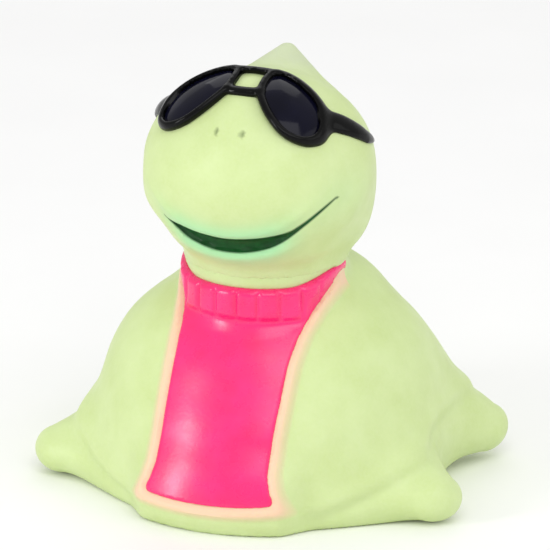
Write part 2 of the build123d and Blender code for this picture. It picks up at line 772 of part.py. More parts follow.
# ---- files ----
finished = [
    body_shell.part,
    head_shell.part,
    chest_panel.part,
    sunglasses_frame.part,
    *lenses,
    base_cup.part,
    base_gasket.part,
    ballast_weight.part,
    ballast_screws.part,
    bezel_ring.part,
    dial_lens.part,
    lens_gasket.part,
    dial_case.part,
    dial_spacer.part,
    dial_plate.part,
    movement_bridge.part,
    dial_screws.part,
    front_bush.part,
    rear_bush.part,
    calibration_lever.part,
    coil_stud.part,
    bimetal_coil.part,
    pointer_arbor.part,
    pointer_hub.part,
    pointer.part,
]
for piece in finished:
    export_step(piece, f"parts/{piece.label}.step")
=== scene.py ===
"""Looks of the floating turtle thermometer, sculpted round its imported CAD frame."""
import math

import bpy
import numpy as np
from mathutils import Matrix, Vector


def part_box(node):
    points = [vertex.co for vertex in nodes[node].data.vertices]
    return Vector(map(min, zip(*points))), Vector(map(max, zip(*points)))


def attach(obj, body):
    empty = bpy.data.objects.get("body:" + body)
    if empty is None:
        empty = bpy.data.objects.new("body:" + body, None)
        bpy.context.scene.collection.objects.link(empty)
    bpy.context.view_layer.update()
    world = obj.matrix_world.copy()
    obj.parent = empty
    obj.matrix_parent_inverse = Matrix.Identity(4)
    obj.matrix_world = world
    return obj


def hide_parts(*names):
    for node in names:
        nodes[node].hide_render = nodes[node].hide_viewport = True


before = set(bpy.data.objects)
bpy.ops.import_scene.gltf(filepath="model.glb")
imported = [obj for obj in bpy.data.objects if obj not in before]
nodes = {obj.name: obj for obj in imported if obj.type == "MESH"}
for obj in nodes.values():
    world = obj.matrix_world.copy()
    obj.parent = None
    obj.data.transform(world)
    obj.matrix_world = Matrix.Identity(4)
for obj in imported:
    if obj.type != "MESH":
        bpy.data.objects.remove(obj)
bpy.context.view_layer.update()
MM = 0.001
FAR = 1e9

# ---------------------------------------------------------------- measures, mm
# (height, half width and depth behind, depth in front) of the body without its flippers
BODY = [(-2.0, 25.3, 25.9), (-1.0, 26.0, 26.6), (0.0, 26.7, 27.3), (2.0, 27.9, 28.2), (6.0, 28.4, 28.4),
        (10.4, 28.4, 28.0), (15.3, 28.2, 26.1), (20.6, 27.2, 23.0), (25.9, 24.4, 19.6), (29.7, 20.8, 16.1),
        (32.8, 16.9, 12.8), (35.0, 14.2, 11.0), (37.0, 11.6, 9.6), (38.6, 8.6, 7.6), (39.6, 4.0, 4.0),
        (40.4, 0.6, 0.6)]
BODY_TOP_Z = 40.0
# (root, tip, radius at the root, radius at the tip, flatness) of the two rods in each flipper
FRONT_FLIPPER = [((15.0, -4.0, 9.5), (33.2, -11.3, 4.2), 10.5, 3.7, 0.92),
                 ((10.0, -13.5, 4.6), (31.4, -12.4, 3.7), 8.3, 3.5, 0.8)]
REAR_FLIPPER = [((14.0, 7.0, 14.5), (30.8, 20.2, 5.6), 13.5, 3.4, 1.0),
                ((20.0, 4.0, 9.0), (30.2, 18.2, 4.8), 8.0, 3.3, 1.0)]
FLIPPER_BLEND, FRONT_BLEND, REAR_BLEND = 3.0, 6.0, 5.0
SHOULDERS_AT, SHOULDERS_R, SHOULDERS_BLEND = (0, 7.0, 29.0), (17.0, 13.0, 9.6), 3.0
# the low fullness in front, under the chest panel
APRON_PROUD, APRON_TOP_Z = 2.9, 15.0
APRON_HEEL, APRON_HEEL_Z = 0.7, 2.5
APRON_SIDE, APRON_FRONT = (11.5, 16.5), (8, 18)
WALL = 1.6
NECK_Y, NECK_R, SEAM_Z = -2.4, 13.3, 39.6
NECK_FOOT_Z, NECK_BLEND = 24.0, 1.5
# the head's skirt laps this far out and down over the neck, so that the seam is shut
LAP, LAP_T = 0.08, 0.5
SKIRT_LOW_Z, SKIRT_TOP_Z, SKIRT_BLEND = 30.0, 44.0, 1.6
PLUG_R, PLUG_FLANGE_R, PLUG_WALL, PLUG_FIT = 9.7, 10.7, 2.0, 0.1
PLUG_LOW_Z, PLUG_TOP_Z = 36.2, 37.8
RECESS_R, RECESS_Z = 25.2, 2.2
OPENING_R, FLOOR_Z = 21.4, 3.8
EYE_HALF, EYE_FROM_Y = 3.8, 20
# (height, half width) of the chest panel
PANEL_HALF = [(4.0, 12.3), (5.4, 11.5), (7.8, 10.3), (10.4, 9.6), (15.3, 9.5), (20.6, 9.6), (25.9, 9.7),
              (29.7, 10.1), (32.8, 11.1), (36.2, 12.8), (39.0, 13.6), (41.0, 14.4)]
PANEL_BOTTOM_Z, PANEL_CORNER, PANEL_TIP = 5.2, 1.5, 0.8
PANEL_PROUD, PANEL_SUNK, PANEL_EDGE, PANEL_EDGE_R = 0.35, 0.55, 0.05, 0.5
RIM_W, RIM_H = 2.0, 0.7
COLLAR_Z, COLLAR_H, COLLAR_BACK_Y = 32.3, 0.6, 2.0
COLLAR_TOP_Z, COLLAR_WING, COLLAR_STEP, COLLAR_ROUND, COLLAR_FADE = 37.3, 1.7, 0.7, 0.9, 1.4
FOLD_DEPTH, FOLD_DROP, FOLD_HALF = 0.12, 0.9, 0.8
RIB_STEP, RIB_DEPTH, RIB_HALF, RIB_AT_R = 15.0, 0.4, 0.42, 15.5
# heights and half heights of the rolled hem and of the crease under it, and where round the body they begin
HEM_Z, HEM_RISE, HEM_BACK_RISE, HEM_PROUD = 4.0, 10.5, 1.5, 0.35
HEM_HALF, CREASE_HALF, CREASE_DROP = 1.4, 1.1, 2.4
# (across, height, half thickness) along the smile
MOUTH = [(-2.0, 46.0, 1.45), (0.0, 45.9, 1.45), (2.0, 46.0, 1.45), (4.5, 46.35, 1.35), (6.8, 46.9, 1.15),
         (8.8, 47.7, 0.8), (10.5, 48.7, 0.46), (12.0, 49.9, 0.32), (13.4, 51.1, 0.26), (15.1, 52.7, 0.2),
         (16.6, 54.2, 0.1), (18.0, 55.6, -0.1)]
MOUTH_END, SHORT_END, SHORT_FROM, MOUTH_DEPTH = 16.8, 11.4, 7.5, 0.8
# (centre, radii, lean in degrees, blend) of the balls that make the head: cranium, muzzle, chin and cheek
CRANIUM = ((0, -4.8, 55.9), (18.8, 17.0, 14.8), 0.0, 0.0)
MUZZLE = ((0, -9.0, 53.0), (17.6, 13.6, 11.6), -12, 4.0)
CHIN = ((0, -5.5, 45.0), (13.5, 12.5, 6.6), 0.0, 4.0)
CHEEK = ((8.5, 1.0, 48.0), (8, 8, 9), 0.0, 5.0)
SKULL_WALL, SKULL_FLOOR = 0.8, 1.6
CREST_FOOT, CREST_FOOT_R, CREST_TIP, CREST_TIP_R = (0, 3.6, 62.0), 7.2, (0, 7.8, 70.9), 1.0
CREST_BLEND = 1.4
CREST_SQUEEZE = np.array([0.68, 1.0, 1.0])
# (drop from the smile's middle, half height, proud, where it fades across) of the lower and the upper lip
LIPS = [(2.6, 1.1, 0.45, (8, 15)), (-2.1, 0.9, 0.35, (10, 17))]
FOLD_AT, FOLD_R, CHEEK_DEPTH = (17.6, 54.2), (1.1, 3.6), 0.5
BRIDGE_PROUD, BRIDGE_HALF, BRIDGE_RISE = 0.55, 3.2, (58, 63)
NOSTRIL_AT, NOSTRIL_R, NOSTRIL_EDGE = (2.2, -20.6, 64.9), (0.55, 2.4, 1.05), 0.35
# the glasses lie in a plane through GLASSES_AT that leans back 45 degrees
GLASSES_AT = np.array([0.0, -5.5, 55.8])
# (across, up) round the lens edge, in that plane
LENS_EDGE = [(2.1, 7.8), (2.5, 9.9), (4.3, 10.9), (6.8, 10.2), (9.4, 8.7), (11.8, 6.7), (13.5, 4.4),
             (14.3, 1.5), (13.9, -1.0), (12.2, -2.5), (10.0, -2.7), (7.8, -1.9), (5.6, 0.0), (3.7, 2.4),
             (2.4, 4.8)]
GLASSES_FRONT, FRAME_LIFT, FRAME_BLEND = 2.0, 0.5, 0.5
TOP_BAR_AT, LOW_BAR_AT, LOW_BAR_BOW = (3.6, 10.3), (2.6, 4.6), 0.04
# marks along an arm and its half height at each
ARM = np.array([(13.4, -10.6, 66.0), (15.4, -8.4, 64.8), (17.0, -6.0, 63.2), (18.0, -3.6, 61.6),
                (18.4, -0.6, 60.2), (18.0, 3.2, 59.2)])
ARM_HALF = [2.1, 2.0, 1.7, 1.4, 0.9, 0.35]
RIM_BEAD, RIM_BEAD_IN, TOP_BAR, LOW_BAR = (1.05, 0.7), 0.55, (1.0, 0.8), (0.95, 1.0)
ARM_THICK, ARM_THINNING, ARM_LIFT, ARM_BLEND = 0.95, 0.5, 0.1, 0.7
LENS_CROWN, LENS_BULGE, LENS_INSET, LENS_BACK = 0.7, 0.5, 0.8, 0.15
# grid cell of each piece's mesh
BODY_CELL, HEAD_CELL, PANEL_CELL, GLASSES_CELL = 0.6, 0.55, 0.36, 0.34


# ---------------------------------------------------------------- implicit shapes, mm
def turned(q, x=0.0, z=0.0):
    """q turned back by z degrees about Z and x degrees about X, for shapes laid at an angle."""
    if z:
        c, s = math.cos(math.radians(-z)), math.sin(math.radians(-z))
        q = np.stack([c * q[..., 0] - s * q[..., 1], s * q[..., 0] + c * q[..., 1], q[..., 2]], -1)
    if x:
        c, s = math.cos(math.radians(-x)), math.sin(math.radians(-x))
        q = np.stack([q[..., 0], c * q[..., 1] - s * q[..., 2], s * q[..., 1] + c * q[..., 2]], -1)
    return q


def egg(p, centre, radii, x=0.0, z=0.0):
    """An ellipsoid, leaned x degrees and turned z degrees."""
    q = turned(p - np.array(centre, float), x, z)
    radii = np.array(radii, float)
    near = np.linalg.norm(q / radii, axis=-1)
    slope = np.linalg.norm(q / (radii * radii), axis=-1) + 1e-9
    return near * (near - 1) / slope


def tapered(p, a, b, ra, rb, flat):
    """A rod from a to b with round ends, flattened along z by flat."""
    a, b = np.array(a, float), np.array(b, float)
    s = np.array([1, 1, 1 / flat])
    q, d = (p - a) * s, (b - a) * s
    h = np.clip((q @ d) / (d @ d), 0, 1)
    return (np.linalg.norm(q - h[..., None] * d, axis=-1) - (ra + (rb - ra) * h)) * min(1, flat)


def round_cone(p, a, b, ra, rb):
    """The smooth hull of a ball at a and a smaller one at b."""
    a, b = np.array(a, float), np.array(b, float)
    d = b - a
    length = math.sqrt(d @ d)
    lean = (ra - rb) / math.sqrt(length ** 2 - (ra - rb) ** 2)
    q = p - a
    along = (q @ d) / length
    wide = np.linalg.norm(q - (along / length)[..., None] * d, axis=-1)
    h = np.clip((along - wide * lean) / length, 0, 1)
    return np.linalg.norm(q - h[..., None] * d, axis=-1) - (ra + (rb - ra) * h)


def join(a, b, k):
    """Both shapes, the corner between them filled by k."""
    h = np.clip(0.5 + 0.5 * (b - a) / k, 0, 1)
    return b * (1 - h) + a * h - k * h * (1 - h)


def cut(a, b, k):
    """a without b, its new edge rounded by k."""
    return -join(-a, b, k)


def mirrored(p):
    """p on the figure's left, so that a shape made there appears on both sides."""
    q = p.copy()
    q[..., 0] = np.abs(q[..., 0])
    return q


def post(p, r, z0, z1, y=0.0):
    """An upright cylinder."""
    rho = np.hypot(p[..., 0], p[..., 1] - y)
    return np.maximum(rho - r, np.maximum(z0 - p[..., 2], p[..., 2] - z1))


def step(x, a, b):
    """0 below a, 1 above b, smooth between."""
    t = np.clip((x - a) / (b - a), 0, 1)
    return t * t * (3 - 2 * t)


def hump(x, half):
    """1 where x is 0, fading smoothly away to both sides."""
    return np.exp(-(x / half) ** 2)


def panel_side(p):
    """Signed distance outside the chest panel's sides and foot, seen from the front."""
    z, half = np.array(PANEL_HALF).T
    side = np.abs(p[..., 0]) - np.interp(p[..., 2], z, half)
    foot = PANEL_BOTTOM_Z - p[..., 2] + 0.5 * (p[..., 0] / 12.0) ** 2
    return join(side, foot, -PANEL_CORNER)


def collar_top(p):
    """The collar's top edge, which rises towards its two tips."""
    turn = np.arctan2(np.abs(p[..., 0]), -(p[..., 1] - NECK_Y))
    return COLLAR_TOP_Z + COLLAR_WING * step(turn, math.radians(35), math.radians(78))


def smooth_through(a, b, c, d, share):
    """Points from b to c on a smooth curve that passes a, b, c and d."""
    square, cube = 2 * a - 5 * b + 4 * c - d, 3 * b - a - 3 * c + d
    return [0.5 * (2 * b + (c - a) * t + square * t * t + cube * t ** 3) for t in np.arange(share) / share]


def smooth_levels(levels, share=24):
    """A smooth curve through the levels: their three numbers, then how steep the last two are."""
    k = np.array(levels)
    rows = []
    for a, b, c, d in zip(k[:-3], k[1:], k[2:], k[3:]):
        rows += smooth_through(a, b, c, d, share)
    rows = np.array(rows)
    return np.column_stack([rows, np.gradient(rows[:, 1], rows[:, 0]), np.gradient(rows[:, 2], rows[:, 0])])


BODY_CURVE = smooth_levels(BODY)


def trunk(p):
    """The body without its flippers: round behind, flatter in front."""
    z = p[..., 2]
    side, front, side_steep, front_steep = (np.interp(z, BODY_CURVE[:, 0], BODY_CURVE[:, i])
                                            for i in (1, 2, 3, 4))
    ahead = p[..., 1] < 0
    depth = np.where(ahead, front, side)
    flat = np.hypot(p[..., 0], p[..., 1]) + 1e-6
    reach = flat / (np.hypot(p[..., 0] / side, p[..., 1] / depth) + 1e-9)
    share = (p[..., 1] / flat) ** 2 * ahead
    steep = side_steep * (1 - share) + front_steep * share
    return np.maximum((flat - reach) / np.sqrt(1 + steep ** 2), z - BODY_TOP_Z)


def figure_body(p):
    """The body and its four flippers, without the paint steps."""
    q = mirrored(p)
    front, rear = (join(tapered(q, *upper), tapered(q, *lower), FLIPPER_BLEND)
                   for upper, lower in (FRONT_FLIPPER, REAR_FLIPPER))
    apron = APRON_PROUD * (1 - step(p[..., 2], 2.0, APRON_TOP_Z))
    apron = apron - APRON_HEEL * (1 - step(p[..., 2], 0.0, APRON_HEEL_Z))
    apron *= (1 - step(q[..., 0], *APRON_SIDE)) * step(-p[..., 1], *APRON_FRONT)
    shoulders = egg(p, SHOULDERS_AT, SHOULDERS_R)
    d = join(join(trunk(p) - apron, shoulders, SHOULDERS_BLEND), front, FRONT_BLEND)
    d = join(d, rear, REAR_BLEND)
    return join(d, post(p, NECK_R, NECK_FOOT_Z, SEAM_Z + 6, NECK_Y), NECK_BLEND)


def shell_hem(p):
    """A low rolled hem above the flippers, from the panel's foot round to the back."""
    turn = np.degrees(np.arctan2(np.abs(p[..., 0]), -p[..., 1]))
    level = HEM_Z + HEM_RISE * step(turn, 24, 95) + HEM_BACK_RISE * step(turn, 120, 180)
    away = p[..., 2] - level
    roll, crease = hump(away, HEM_HALF), hump(away + CREASE_DROP, CREASE_HALF)
    return step(turn, 22, 34) * (HEM_PROUD * roll - HEM_PROUD * crease)


def body_outside(p):
    """The figure's body with the raised rim round the panel's bed, and the hem."""
    d = figure_body(p)
    side = panel_side(p)
    front = step(-p[..., 1], 2.0, 6.0)
    roll = RIM_H * np.clip(1 - (2 * side / RIM_W - 1) ** 2, 0, 1)
    under_top = 1 - step(p[..., 2] - collar_top(p), -0.8, 0.6)
    inside = step(-side, 0.35, 0.8) * under_top
    return d - front * (roll * under_top - PANEL_SUNK * inside) - shell_hem(p)


def body_skin(p):
    """The hollow body, open below for the cup and above for the head's plug."""
    outer = np.maximum(body_outside(p), -p[..., 2])
    outer = np.maximum(outer, p[..., 2] - SEAM_Z)
    hollow = np.maximum(figure_body(p) + WALL + PANEL_SUNK, FLOOR_Z - p[..., 2])
    hollow = np.maximum(hollow, p[..., 2] - PLUG_TOP_Z)
    hollow = np.minimum(hollow, post(p, OPENING_R, -1, FLOOR_Z + 1))
    hollow = np.minimum(hollow, post(p, RECESS_R, -1, RECESS_Z))
    eye = np.maximum(np.abs(p[..., 0]) - EYE_HALF, np.maximum(p[..., 2] - RECESS_Z, EYE_FROM_Y - p[..., 1]))
    hollow = np.minimum(hollow, eye)
    hollow = np.minimum(hollow, post(p, PLUG_R + PLUG_FIT, 30, SEAM_Z + 1, NECK_Y))
    return np.maximum(outer, -hollow)


def panel_skin(p):
    """The pink panel with its ribbed collar, as a skin laid in its bed."""
    base = figure_body(p)
    turn = np.degrees(np.arctan2(p[..., 0], -(p[..., 1] - NECK_Y)))
    top = collar_top(p)
    collar = step(p[..., 2], COLLAR_Z - COLLAR_STEP, COLLAR_Z + COLLAR_STEP)
    collar = collar * (1 - step(p[..., 2] - top, -COLLAR_ROUND, 0.0))
    rib = np.abs((turn / RIB_STEP - 0.5) % 1 - 0.5) * RIB_STEP * math.radians(1) * RIB_AT_R
    groove = RIB_DEPTH * hump(rib, RIB_HALF)
    crown = collar * (COLLAR_H - groove) * step(-panel_side(p), 0.0, COLLAR_FADE)
    fold = FOLD_DEPTH * hump(p[..., 2] - COLLAR_Z + FOLD_DROP, FOLD_HALF)
    outer = base - PANEL_PROUD - crown + fold
    inner = -(base + PANEL_SUNK - PANEL_EDGE)
    edge = join(panel_side(p) - PANEL_EDGE, p[..., 2] - top, -PANEL_TIP)
    return np.maximum(np.maximum(cut(outer, -edge, PANEL_EDGE_R), inner), p[..., 1] - COLLAR_BACK_Y)


def skull(p):
    """The head without its crest, mouth and nostrils."""
    q = mirrored(p)
    centre, radii, lean, _ = CRANIUM
    d = egg(p, centre, radii, x=lean)
    for centre, radii, lean, blend in (MUZZLE, CHIN, CHEEK):
        d = join(d, egg(q, centre, radii, x=lean), blend)
    return d


MOUTH_CURVE = smooth_levels(MOUTH)


def mouth_middle(x):
    """Height of the smile's middle line."""
    return np.interp(x, MOUTH_CURVE[:, 0], MOUTH_CURVE[:, 1])


def mouth_line(p):
    """How far p is above the smile's middle line, and half its thickness there, negative past its ends."""
    x = np.abs(p[..., 0])
    steep = np.interp(x, MOUTH_CURVE[:, 0], MOUTH_CURVE[:, 3])
    thinning = 1 - 0.8 * step(-p[..., 0], SHORT_FROM, SHORT_END)
    half = np.interp(x, MOUTH_CURVE[:, 0], MOUTH_CURVE[:, 2]) * thinning
    past = x - np.where(p[..., 0] > 0, MOUTH_END, SHORT_END)
    return (p[..., 2] - mouth_middle(x)) / np.hypot(1, steep), np.where(past > 0, -past, half)


def mouth_away(p):
    """Signed distance from the edge of the painted smile, negative inside it."""
    above, half = mouth_line(p)
    return np.where(half > 0, np.abs(above) - half, np.hypot(half, above))


def head_outside(p):
    """The head with its crest, pressed smile, cheek folds, bridge of the nose and nostrils."""
    q = mirrored(p)
    crest = round_cone(p * CREST_SQUEEZE, CREST_FOOT, CREST_TIP, CREST_FOOT_R, CREST_TIP_R)
    d = join(skull(p), crest, CREST_BLEND)
    d = join(d, post(p, NECK_R + LAP, SKIRT_LOW_Z, SKIRT_TOP_Z, NECK_Y), SKIRT_BLEND)
    front = step(-p[..., 1], 4.0, 9.0)
    away = mouth_away(p)
    dip = MOUTH_DEPTH * step(-away, -0.35, 0.75) * (1 - 0.8 * step(q[..., 0], 8.5, 13.0))
    below = mouth_middle(q[..., 0]) - p[..., 2]
    lips = sum(proud * hump(below - drop, half) * (1 - step(q[..., 0], *fade))
               for drop, half, proud, fade in LIPS)
    fold = np.hypot((q[..., 0] - FOLD_AT[0]) / FOLD_R[0], (p[..., 2] - FOLD_AT[1]) / FOLD_R[1])
    cheek = CHEEK_DEPTH * hump(fold, 1)
    bridge = BRIDGE_PROUD * hump(p[..., 0], BRIDGE_HALF) * step(p[..., 2], *BRIDGE_RISE)
    d = d + front * (dip + cheek - lips - bridge)
    return cut(d, egg(q, NOSTRIL_AT, NOSTRIL_R, x=30, z=12), NOSTRIL_EDGE)


def head_skin(p):
    """The hollow head with the plug that goes into the body's neck."""
    outer = np.maximum(head_outside(p), SEAM_Z - LAP_T - p[..., 2])
    hollow = np.maximum(skull(p) + WALL + SKULL_WALL, SEAM_Z + SKULL_FLOOR - p[..., 2])
    outer = np.maximum(outer, -hollow)
    plug = np.minimum(post(p, PLUG_R, PLUG_LOW_Z, SEAM_Z + 0.8, NECK_Y),
                      post(p, PLUG_FLANGE_R, PLUG_LOW_Z, PLUG_TOP_Z, NECK_Y))
    return np.maximum(np.minimum(outer, plug), -post(p, PLUG_R - PLUG_WALL, 30, SEAM_Z + 5, NECK_Y))


# ---------------------------------------------------------------- meshes from implicit shapes
def net(field, low, high, cell, settle=4):
    """A quad mesh on field = 0: one point in each grid cell that the surface crosses, settled onto it."""
    low, high = np.array(low, float), np.array(high, float)
    count = np.ceil((high - low) / cell).astype(int) + 1
    axes = [low[i] + cell * np.arange(count[i]) for i in range(3)]
    value = np.empty(count)
    for i in range(count[0]):
        value[i] = field(np.stack(np.meshgrid(axes[0][i:i + 1], axes[1], axes[2], indexing="ij"), -1))[0]
    within = value < 0
    corner = [(i, j, k) for i in (0, 1) for j in (0, 1) for k in (0, 1)]
    part = {c: tuple(slice(c[a], count[a] - 1 + c[a]) for a in range(3)) for c in corner}
    some = np.zeros(count - 1, int)
    for c in corner:
        some += within[part[c]]
    at = np.argwhere((some > 0) & (some < 8))
    label = -np.ones(count - 1, int)
    label[tuple(at.T)] = np.arange(len(at))
    total, crossings = np.zeros((len(at), 3)), np.zeros(len(at))
    for c in corner:
        for a in range(3):
            if c[a]:
                continue
            other = list(c)
            other[a] = 1
            va = value[tuple((at + np.array(c)).T)]
            vb = value[tuple((at + np.array(other)).T)]
            hit = (va < 0) != (vb < 0)
            share = np.where(hit, va / np.where(hit, va - vb, 1), 0)
            point = np.array(c, float) + share[:, None] * np.eye(3)[a]
            total += np.where(hit[:, None], point, 0)
            crossings += hit
    verts = low + cell * (at + total / crossings[:, None])
    tiny = 0.02
    for _ in range(settle):
        f = field(verts)
        slope = np.stack([field(verts + shift) - field(verts - shift) for shift in tiny * np.eye(3)], -1)
        slope /= 2 * tiny
        move = f[:, None] * slope / np.maximum((slope ** 2).sum(-1), 0.05)[:, None]
        size = np.linalg.norm(move, axis=-1, keepdims=True)
        verts = verts - 0.9 * move * np.minimum(1, 0.3 * cell / np.maximum(size, 1e-9))
    faces = []
    for a in range(3):
        b, c = (a + 1) % 3, (a + 2) % 3
        near = [slice(1, -1)] * 3
        near[a] = slice(0, -1)
        far = list(near)
        far[a] = slice(1, None)
        changed = within[tuple(near)] != within[tuple(far)]
        outward = within[tuple(near)][changed]
        place = np.argwhere(changed)
        for axis in (b, c):
            place[:, axis] += 1
        ring = []
        for shift in ((0, 0), (1, 0), (1, 1), (0, 1)):
            cell_at = place.copy()
            cell_at[:, b] -= shift[0]
            cell_at[:, c] -= shift[1]
            ring.append(label[tuple(cell_at.T)])
        quad = np.stack(ring, -1)
        quad[~outward] = quad[~outward][:, ::-1]
        faces.append(quad)
    return verts, np.concatenate(faces)


def mesh_piece(name, verts, faces, body, slot, replaces=(), sharp=40.0, **paint):
    """A shown piece from points in mm; paint holds one number per point for its material to read."""
    mesh = bpy.data.meshes.new(name)
    mesh.from_pydata((np.asarray(verts) * MM).tolist(), [], [[int(i) for i in face] for face in faces])
    mesh.validate()
    mesh.polygons.foreach_set("use_smooth", [True] * len(mesh.polygons))
    mesh.set_sharp_from_angle(angle=math.radians(sharp))
    for key, numbers in paint.items():
        painted = mesh.attributes.new(key, "FLOAT", "POINT")
        painted.data.foreach_set("value", np.asarray(numbers, np.float32))
    piece = bpy.data.objects.new(name, mesh)
    bpy.context.scene.collection.objects.link(piece)
    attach(piece, body)
    if replaces:
        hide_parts(*replaces)
    return piece


# ---------------------------------------------------------------- the vinyl figure
MINT_SPREAD, MINT_FADE = 2.4, 0.85
# centre, radii and reach of the painted shade in the nostril dimples
NOSTRIL_SHADE_AT, NOSTRIL_SHADE_R, NOSTRIL_SHADE_REACH = (2.2, -20.4, 65.0), (0.55, 1.6, 1.0), 1.25


def painted_head():
    """The head, with the paint of its smile and the mint round it, and painted shade in the nostrils and on
    the crest's tip.
    """
    verts, faces = net(head_skin, (-21, -25, 32), (21, 16, 74), HEAD_CELL)
    mint = hump(np.clip(mouth_away(verts), 0, None), MINT_SPREAD) * step(-verts[:, 1], 3, 9)
    mint *= 1 - MINT_FADE * step(np.abs(verts[:, 0]), 7, 13.5)
    # painted shade in the nostril dimples, fading out from their middle
    off_nostril = np.linalg.norm((mirrored(verts) - NOSTRIL_SHADE_AT) / NOSTRIL_SHADE_R, axis=-1)
    above, half = mouth_line(verts)
    half = np.where(verts[:, 1] < -6, half, -9.0)
    # crest marks the crest's tip, which gets painted shade
    mesh_piece("turtle_head", verts, faces, "float", "glow_vinyl", ["head_shell"], above=above, half=half,
               mint=mint, nostril=1 - np.clip(off_nostril / NOSTRIL_SHADE_REACH, 0, 1),
               crest=step(verts[:, 2] + 0.4 * verts[:, 1], 68.5, 72.5))


def painted_body():
    """The body, with the cream line on the rim round the panel: partly pink overspray, partly a painted
    highlight where the rim catches light.
    """
    verts, faces = net(body_skin, (-39.3, -34.2, -1.2), (39.3, 31.2, 42), BODY_CELL)
    side = panel_side(verts)
    line = np.where(verts[:, 1] < -1, side, 9.0)
    mesh_piece("turtle_body", verts, faces, "float", "glow_vinyl", ["body_shell"], line=line)


def painted_panel():
    """The panel, its pink darker towards the foot."""
    verts, faces = net(panel_skin, (-16, -34.2, 1.5), (16, -1, 41), PANEL_CELL)
    mesh_piece("painted_chest", verts, faces, "float", "pink_paint", ["chest_panel"],
               low=step(-verts[:, 2], -9, -3))


# ---------------------------------------------------------------- sunglasses
def lens_loop(share=8):
    """The lens edge as a closed smooth loop through its marks, in the glasses' own plane."""
    marks = np.array(LENS_EDGE)
    loop = []
    for a, b, c, d in zip(np.roll(marks, 1, 0), marks, np.roll(marks, -1, 0), np.roll(marks, -2, 0)):
        loop += smooth_through(a, b, c, d, share)
    return np.array(loop)


LENS_LOOP = lens_loop()


def lens_away(u, v):
    """Signed distance outside the lens edge, in the glasses' own plane."""
    best, inside = np.full(u.shape, FAR), np.zeros(u.shape, bool)
    for a, b in zip(LENS_LOOP, np.roll(LENS_LOOP, -1, 0)):
        d = b - a
        t = np.clip(((u - a[0]) * d[0] + (v - a[1]) * d[1]) / (d @ d), 0, 1)
        best = np.minimum(best, (u - a[0] - t * d[0]) ** 2 + (v - a[1] - t * d[1]) ** 2)
        between = (a[1] > v) != (b[1] > v)
        inside ^= between & (u < a[0] + (v - a[1]) * d[0] / (d[1] if d[1] else 1e-9))
    return np.where(inside, -1, 1) * np.sqrt(best)


def glasses_place(p):
    """(across, up, out) in the glasses' own plane, which leans back 45 degrees."""
    q = mirrored(p) - GLASSES_AT
    half = math.sqrt(0.5)
    return q[..., 0], (q[..., 1] + q[..., 2]) * half, (q[..., 2] - q[..., 1]) * half


def bead(lift, away, high, wide):
    """A rounded moulding: lift above the head, away from its line."""
    r = np.hypot(lift / high, away / wide)
    return (r - 1) * min(high, wide)


def glasses_frame(p):
    """Both rims, the double bar between them and the arms, as beads laid on the skull."""
    across, up, out = glasses_place(p)
    lift = skull(p)
    raised = lift - FRAME_LIFT
    top = np.hypot(np.maximum(across - TOP_BAR_AT[0], 0), up - TOP_BAR_AT[1])
    low = np.hypot(np.maximum(across - LOW_BAR_AT[0], 0), up - LOW_BAR_AT[1] - LOW_BAR_BOW * across ** 2)
    d = bead(raised, lens_away(across, up) + RIM_BEAD_IN, *RIM_BEAD)
    d = join(d, bead(raised, top, *TOP_BAR), FRAME_BLEND)
    d = join(d, bead(raised, low, *LOW_BAR), FRAME_BLEND)
    d = np.maximum(d, GLASSES_FRONT - out)
    q, arm = mirrored(p), np.full(p.shape[:-1], FAR)
    for a, b, ra, rb in zip(ARM, ARM[1:], ARM_HALF, ARM_HALF[1:]):
        t = np.clip(((q - a) @ (b - a)) / ((b - a) @ (b - a)), 0, 1)
        off = np.linalg.norm(q - a - t[..., None] * (b - a), axis=-1)
        arm = np.minimum(arm, off / (ra + (rb - ra) * t))
    thick = ARM_THICK - ARM_THINNING * step(q[..., 1], -8.0, 0.0)
    arm = (np.hypot((lift - ARM_LIFT) / thick, arm) - 1) * thick
    return join(d, arm, ARM_BLEND)


def lens_glass(p):
    """The left lens: a shallow dome set inside its rim."""
    across, up, out = glasses_place(p)
    lift = skull(p)
    away = lens_away(across, up)
    crown = LENS_CROWN + LENS_BULGE * (1 - np.exp(-np.clip(-away - 1, 0, 9) / 2.5))
    within = np.maximum(away + LENS_INSET, GLASSES_FRONT - out)
    return np.maximum(np.maximum(lift - crown, LENS_BACK - lift), within)


def sunglasses():
    """The frame, and the lens with its mirror copy."""
    verts, faces = net(glasses_frame, (-21.5, -27, 52), (21.5, 6, 74), GLASSES_CELL)
    mesh_piece("sunglasses", verts, faces, "float", "black_plastic", ["sunglasses_frame"])
    verts, faces = net(lens_glass, (1.0, -27, 55), (17.5, 2, 74), GLASSES_CELL)
    mesh_piece("lens_left", verts, faces, "float", "dark_lens", ["left_lens"])
    mesh_piece("lens_right", verts * (-1, 1, 1), faces[:, ::-1], "float", "dark_lens", ["right_lens"])


# ---------------------------------------------------------------- dial print, read from below
SCALE_SWEEP, SCALE_TOP, SCALE_STEP, NUMBER_STEP = 270.0, 50, 2, 10
TICK_OUT, TICK_LONG, TICK_SHORT, NUMBER_R, INK_T = 15.9, 2.3, 1.2, 10.1, 0.06
UNIT, UNIT_R, UNIT_SIZE, NUMBER_SIZE = "°C", 8.6, 2.8, 3.1
TICK_WIDE, TICK_THIN = 0.17, 0.09
BAR_FACES = ((0, 1, 2, 3), (7, 6, 5, 4), (0, 4, 5, 1), (1, 5, 6, 2), (2, 6, 7, 3), (3, 7, 4, 0))


